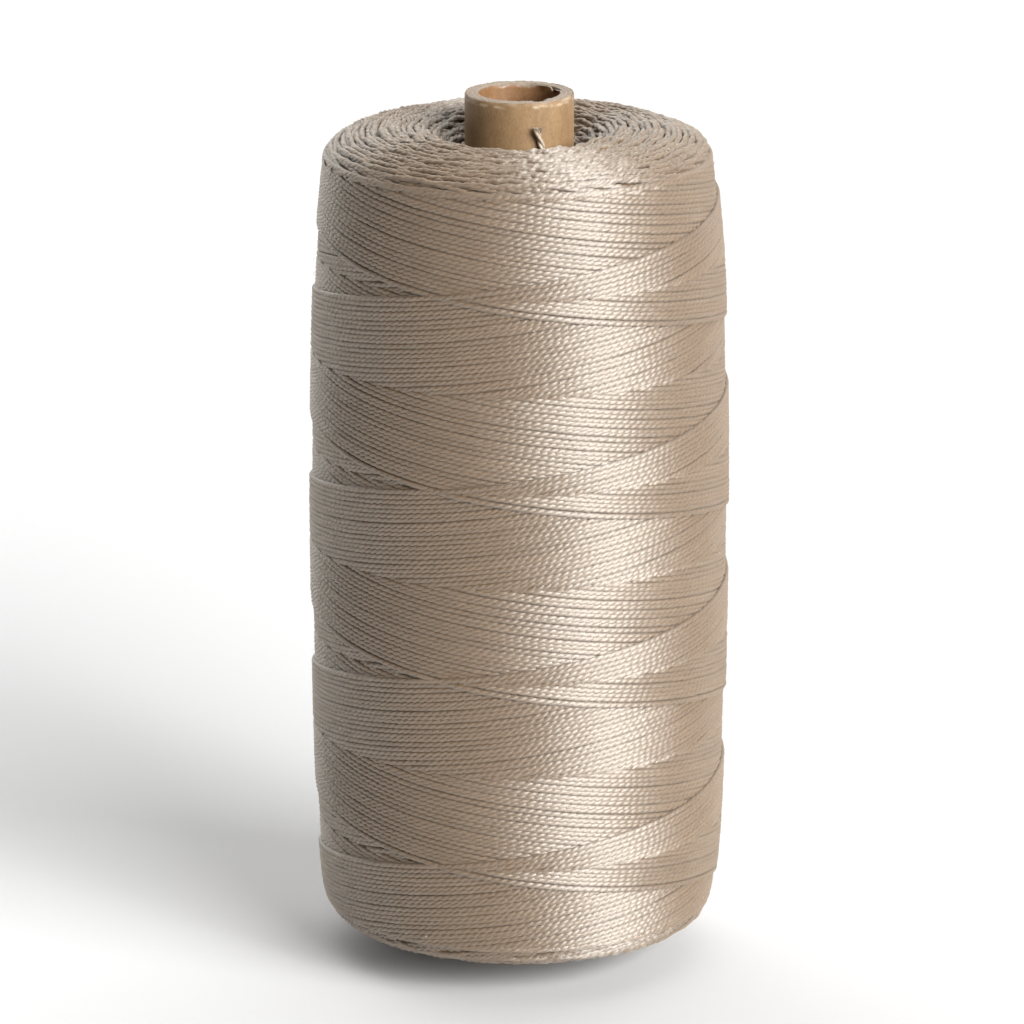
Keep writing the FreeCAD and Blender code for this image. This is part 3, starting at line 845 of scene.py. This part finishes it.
def mottled(name, dark, pale, roughness, scale, detail=2.0, stretch=(1, 1, 1), span=(0.35, 0.65),
            relief=None):
    """A material mottled between two colours, with relief as (strength, depth in metres)."""
    material, tree, shader = new_material(name)
    mottle = noise(tree, object_place(tree), scale, detail, stretch)
    colour = mix_colour(tree, ramp(tree, mottle, *span), dark, pale)
    set_sockets(tree, shader, Base_Color=colour, Roughness=roughness)
    if relief:
        bump(tree, shader, mottle, *relief)
    return material


def core_material():
    """The older thread seen deep between the turns."""
    dark, pale = (0.14, 0.090, 0.054, 1), (0.20, 0.132, 0.084, 1)
    return mottled("inner_thread", dark, pale, 0.8, scale=60.0, stretch=(1, 1, 14), relief=(0.6, 0.0003))


def fibre_material():
    """Loose fibres of the same beige, a little paler."""
    dark, pale = (0.38, 0.30, 0.225, 1), (0.56, 0.46, 0.36, 1)
    return mottled("loose_fibres", dark, pale, 0.5, scale=1800.0, relief=(0.3, 0.00003))


def wax_material():
    """Pale crumbs of wax."""
    return mottled("wax", (0.62, 0.56, 0.48, 1), (0.80, 0.76, 0.70, 1), 0.45, scale=3000.0)


def board_material(index):
    """Grey-brown board, each second ply a little paler."""
    shade = 1.0 - 0.10 * (index % 2)
    dark = (0.25 * shade, 0.20 * shade, 0.15 * shade, 1)
    pale = (0.38 * shade, 0.31 * shade, 0.24 * shade, 1)
    return mottled(f"tube_board_{index}", dark, pale, 0.85, scale=1500.0, detail=4.0, span=(0.3, 0.7),
                   relief=(0.8, 0.0001))


def kraft_material():
    """Golden-tan kraft paper, softly mottled with faint upright streaks, rubbed paler at the rim."""
    dark, pale = (0.207, 0.122, 0.056, 1), (0.290, 0.182, 0.090, 1)
    streak, speck, fleck = (0.317, 0.207, 0.107, 1), (0.175, 0.099, 0.044, 1), (0.35, 0.242, 0.139, 1)
    worn, creased = (0.40, 0.315, 0.215, 1), (0.46, 0.37, 0.25, 1)
    material, tree, shader = new_material("kraft_paper")
    place = object_place(tree)
    height = z_of(tree, place)
    streaks = noise(tree, place, 700.0, detail=3.0, stretch=(1, 1, 0.14))
    clouds = noise(tree, place, 330.0, detail=4.0, stretch=(1, 1, 0.55))
    specks = noise(tree, place, 2600.0, detail=3.0, stretch=(1, 1, 0.6))
    colour = mix_colour(tree, ramp(tree, clouds, 0.3, 0.72), dark, pale)
    colour = mix_colour(tree, ramp(tree, streaks, 0.35, 0.75, to_high=0.35), colour, streak)
    colour = mix_colour(tree, ramp(tree, specks, 0.52, 0.72, to_high=0.45), colour, speck)
    colour = mix_colour(tree, ramp(tree, specks, 0.3, 0.46, 0.3, 0.0), colour, fleck)
    wear = ramp(tree, noise(tree, place, 300.0, detail=4.0), 0.5, 0.68)
    at_rim = product(tree, near_rim(tree, height, 0.9, 0.1), wear)
    colour = mix_colour(tree, at_rim, colour, worn)
    folds = ramp(tree, noise(tree, place, 520.0, detail=6.0, stretch=(1, 1, 1.5)), 0.5, 0.66)
    band = product(tree, near_rim(tree, height, 1.3, 0.8), near_rim(tree, height, 0.8, 0.4, 1.0, 0.0))
    colour = mix_colour(tree, product(tree, band, folds), colour, creased)
    set_sockets(tree, shader, Base_Color=colour, Roughness=ramp(tree, specks, 0.3, 0.7, 0.46, 0.62),
                Specular_IOR_Level=0.35)
    bump(tree, shader, specks, 0.4, 0.00004)
    return material


def liner_material():
    """Orange-brown paper inside the bore, finely mottled and a little glossy, paler on its cut edge."""
    dark, pale = (0.18, 0.088, 0.036, 1), (0.25, 0.135, 0.062, 1)
    speck, cut_edge = (0.31, 0.19, 0.10, 1), (0.25, 0.195, 0.14, 1)
    material, tree, shader = new_material("liner_paper_look")
    place = object_place(tree)
    streaks = noise(tree, place, 500.0, detail=3.0, stretch=(1, 1, 0.3))
    specks = noise(tree, place, 2300.0, detail=3.0)
    colour = mix_colour(tree, ramp(tree, streaks, 0.3, 0.7), dark, pale)
    colour = mix_colour(tree, ramp(tree, specks, 0.5, 0.7, to_high=0.5), colour, speck)
    facing_up = ramp(tree, z_of(tree, surface_normal(tree)), 0.3, 0.8)
    colour = mix_colour(tree, facing_up, colour, cut_edge)
    set_sockets(tree, shader, Base_Color=colour, Roughness=ramp(tree, specks, 0.3, 0.7, 0.36, 0.5))
    bump(tree, shader, specks, 0.35, 0.00004)
    return material


# The camera, at the photograph's height and distance, in metres
CAMERA_LENS = 232.1
CAMERA_DISTANCE = 1.226
CAMERA_RISE = math.radians(15.93)
AIM = Vector((-0.00133, 0.0, 0.0843))


def make_camera():
    """A long lens that looks slightly down on the spool."""
    data = bpy.data.cameras.new("camera")
    data.lens = CAMERA_LENS
    data.sensor_width = 36.0
    data.clip_end = 20.0
    camera = bpy.data.objects.new("camera", data)
    away = Vector((0.0, -math.cos(CAMERA_RISE), math.sin(CAMERA_RISE)))
    camera.location = AIM + away * CAMERA_DISTANCE
    camera.rotation_euler = (-away).to_track_quat("-Z", "Y").to_euler()
    bpy.context.scene.collection.objects.link(camera)
    bpy.context.scene.camera = camera


# The lights, as (name, angle round the spool, height above the horizon, width, all in degrees, strength):
# two keys from the right front, a rim on each side, and two lights from behind and above
SUNS = [
    ("key_front", 34, 24, 30, 3.2),
    ("key_side", 54, 24, 30, 3.2),
    ("rim_left", -145, 20, 50, 0.95),
    ("rim_right", 125, 20, 40, 0.6),
    ("backdrop", 180, 38, 80, 1.55),
    ("overhead", 180, 82, 60, 0.8),
]
WORLD_STRENGTH = 0.02


def soft_sun(name, azimuth, elevation, softness, strength):
    """A large soft light far away."""
    data = bpy.data.lights.new(name, "SUN")
    data.angle = math.radians(softness)
    data.energy = strength
    lamp = bpy.data.objects.new(name, data)
    a, e = math.radians(azimuth), math.radians(elevation)
    away = Vector((math.sin(a) * math.cos(e), -math.cos(a) * math.cos(e), math.sin(e)))
    lamp.location = away
    lamp.rotation_euler = (-away).to_track_quat("-Z", "Y").to_euler()
    bpy.context.scene.collection.objects.link(lamp)


def make_light():
    """The soft lights, and a faint even light from all round."""
    for sun in SUNS:
        soft_sun(*sun)
    world = bpy.data.worlds.new("studio")
    bpy.context.scene.world = world
    world.use_nodes = True
    background = world.node_tree.nodes["Background"]
    set_sockets(world.node_tree, background, Color=(1, 1, 1, 1), Strength=WORLD_STRENGTH)
    bpy.context.scene.view_settings.view_transform = "Standard"


# The floor's half width and the wall's radius and heights, in millimetres
FLOOR_REACH = 3000
WALL_REACH = 2900.0
WALL_HEIGHTS = (-50.0, 4000.0)
WALL_COLUMNS = 96


def make_floor():
    """A plain pale floor."""
    coords = np.array([(-1, -1, 0), (1, -1, 0), (1, 1, 0), (-1, 1, 0)], float) * FLOOR_REACH
    floor = make_mesh("floor", coords, np.array([[0, 1, 2, 3]]))
    material, tree, shader = new_material("pale_floor")
    set_sockets(tree, shader, Base_Color=(0.66, 0.66, 0.66, 1), Roughness=0.9, Specular_IOR_Level=0.1)
    floor.data.materials.append(material)


def make_backdrop():
    """A plain pale wall far round the floor, which is seen but neither lights nor shades the spool."""
    angle = np.linspace(0, TURN, WALL_COLUMNS, endpoint=False)
    rings = [polar(angle, WALL_REACH, np.full(WALL_COLUMNS, height)) for height in WALL_HEIGHTS]
    wall = make_mesh("backdrop_wall", np.vstack(rings), ring_quads(len(rings), WALL_COLUMNS))
    material, tree, shader = new_material("pale_wall")
    set_sockets(tree, shader, Base_Color=(0, 0, 0, 1), Specular_IOR_Level=0.0,
                Emission_Color=(1, 1, 1, 1), Emission_Strength=0.98)
    wall.data.materials.append(material)
    wall.visible_diffuse = False
    wall.visible_glossy = False
    wall.visible_transmission = False
    wall.visible_shadow = False


make_camera()
waxed_thread = thread_material()
side_pieces = thread_pieces("side_turns", side_runs(), "thread_outer_turns")
upper_pieces = thread_pieces("upper_end_turns", end_runs(True), "thread_package")
lower_pieces = thread_pieces("lower_end_turns", end_runs(False), "thread_package")
for piece in side_pieces + upper_pieces + lower_pieces:
    piece.data.materials.append(waxed_thread)
package_core().data.materials.append(core_material())
paper_tube()
fibre_look = fibre_material()
start_tail().data.materials.append(fibre_look)
stray_fibres().data.materials.append(fibre_look)
wax_specks().data.materials.append(wax_material())
make_floor()
make_backdrop()
make_light()
